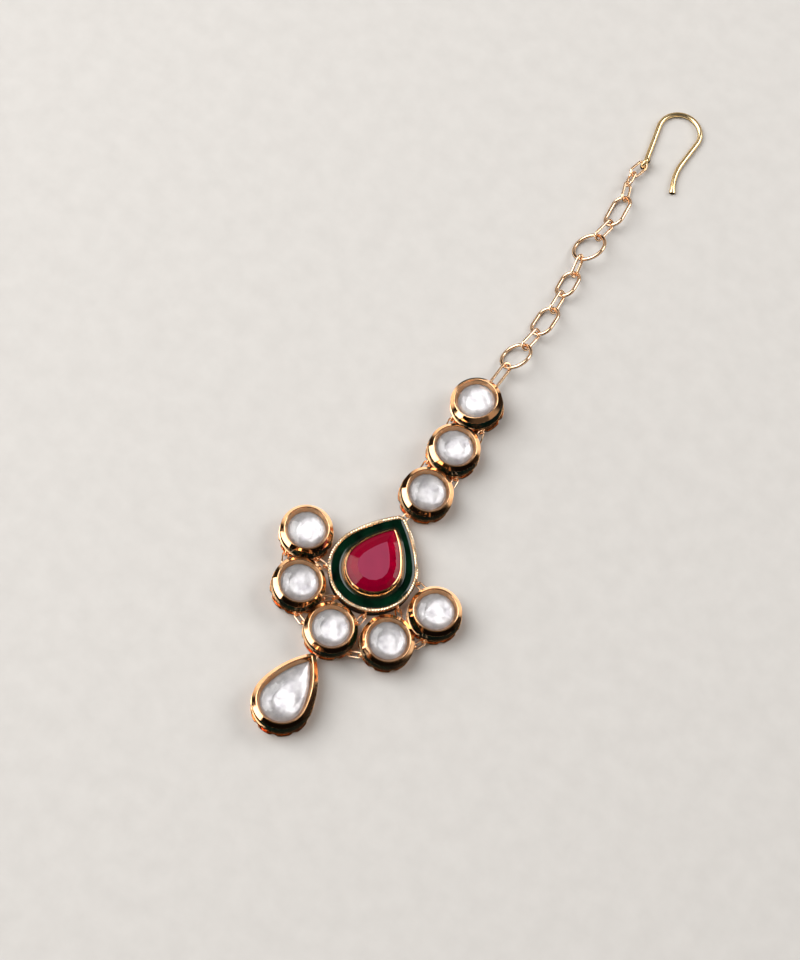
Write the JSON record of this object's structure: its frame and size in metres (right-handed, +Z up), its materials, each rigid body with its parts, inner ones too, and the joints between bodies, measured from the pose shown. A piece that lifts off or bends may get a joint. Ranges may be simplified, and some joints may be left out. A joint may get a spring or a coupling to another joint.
{
  "type": "maang tikka",
  "caption": "Kundan maang tikka lying flat: shepherd's hook, link chain, round clear-stone units in a string and a fan round a green enamelled pear plate with a red stone, and a pear drop.",
  "frame": {"origin": "middle of the object's footprint, on the surface it lies on", "axes": "+Y along the jewel towards the hook, +Z up from the surface, +X to the right seen from above with the hook away"},
  "size_m": [0.0374, 0.1516, 0.0063],
  "materials": {
    "setting_gold": "polished gold plate with a rose tint",
    "chain_gold": "polished gold plate with a rose tint",
    "hook_gold": "polished yellow gold plate",
    "band_enamel": "glossy green-black enamel",
    "plate_enamel": "glossy deep green enamel",
    "clear_stone": "clear cut glass backed with silver foil",
    "red_stone": "cut red glass backed with foil"
  },
  "bodies": {
    "root": {"coupling_drop": "chain_gold", "coupling_fan_1": "chain_gold", "coupling_fan_2": "chain_gold", "coupling_fan_3": "chain_gold", "coupling_fan_4": "chain_gold", "coupling_fan_5": "chain_gold", "coupling_lower_left": "chain_gold", "coupling_lower_right": "chain_gold", "coupling_plate": "chain_gold", "coupling_rim_1": "chain_gold", "coupling_rim_2": "chain_gold", "coupling_rim_3": "chain_gold", "coupling_rim_4": "chain_gold", "coupling_upper_left": "chain_gold", "coupling_upper_right": "chain_gold", "drop_enamel": "band_enamel", "drop_setting": "setting_gold", "drop_stone": "clear_stone", "fan_far_left_enamel": "band_enamel", "fan_far_left_setting": "setting_gold", "fan_far_left_stone": "clear_stone", "fan_far_right_enamel": "band_enamel", "fan_far_right_setting": "setting_gold", "fan_far_right_stone": "clear_stone", "fan_left_enamel": "band_enamel", "fan_left_setting": "setting_gold", "fan_left_stone": "clear_stone", "fan_middle_enamel": "band_enamel", "fan_middle_setting": "setting_gold", "fan_middle_stone": "clear_stone", "fan_right_enamel": "band_enamel", "fan_right_setting": "setting_gold", "fan_right_stone": "clear_stone", "hook": "hook_gold", "link_connector": "chain_gold", "link_oval_2": "chain_gold", "link_oval_3": "chain_gold", "link_oval_5": "chain_gold", "link_ring_1": "chain_gold", "link_ring_4": "chain_gold", "link_short_1": "chain_gold", "link_short_2": "chain_gold", "link_short_3": "chain_gold", "link_short_4": "chain_gold", "link_short_5": "chain_gold", "link_short_6": "chain_gold", "link_short_7": "chain_gold", "plate_enamel": "plate_enamel", "plate_ruby": "red_stone", "plate_setting": "setting_gold", "string_lower_enamel": "band_enamel", "string_lower_setting": "setting_gold", "string_lower_stone": "clear_stone", "string_middle_enamel": "band_enamel", "string_middle_setting": "setting_gold", "string_middle_stone": "clear_stone", "string_upper_enamel": "band_enamel", "string_upper_setting": "setting_gold", "string_upper_stone": "clear_stone"}
  },
  "joints": []
}
